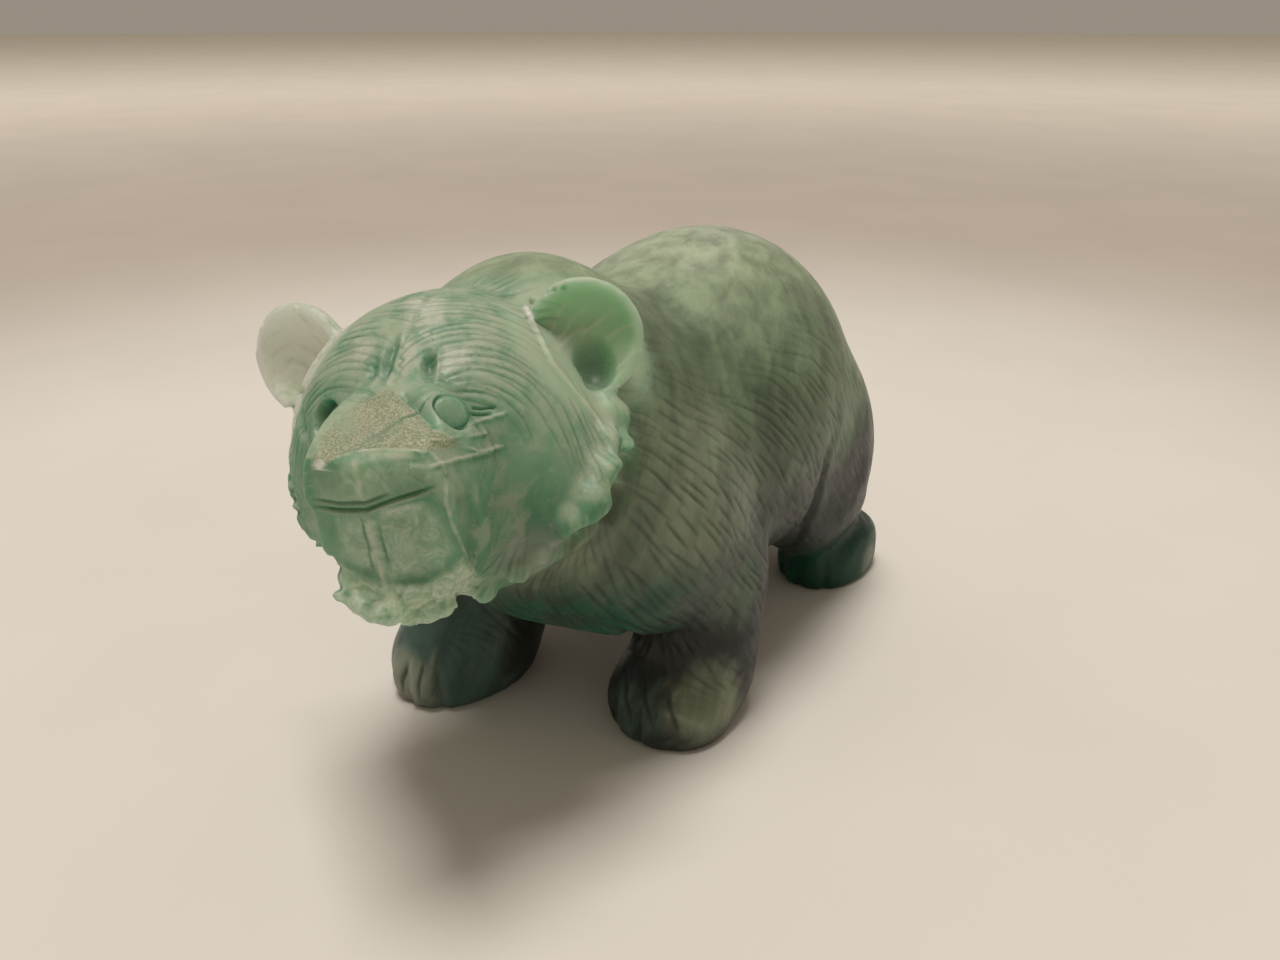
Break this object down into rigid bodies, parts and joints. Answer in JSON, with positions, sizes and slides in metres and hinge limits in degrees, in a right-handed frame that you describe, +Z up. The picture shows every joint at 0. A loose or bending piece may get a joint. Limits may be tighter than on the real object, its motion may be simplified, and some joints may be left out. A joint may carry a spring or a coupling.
{
  "type": "fluorite bear figurine",
  "caption": "Small walking bear carved from one piece of banded green to purple fluorite, head turned to its left, fur cut in fine rows, standing on four paws.",
  "frame": {"origin": "on the ground plane under the four paws, at the middle of the bear's outline seen from above", "axes": "+Z up, -Y the way the body faces, +X to the bear's own left"},
  "size_m": [0.0384, 0.082, 0.0495],
  "materials": {
    "fluorite": "carved satin with polished hollows"
  },
  "bodies": {
    "root": {"fluorite_bear": "fluorite"}
  },
  "joints": []
}
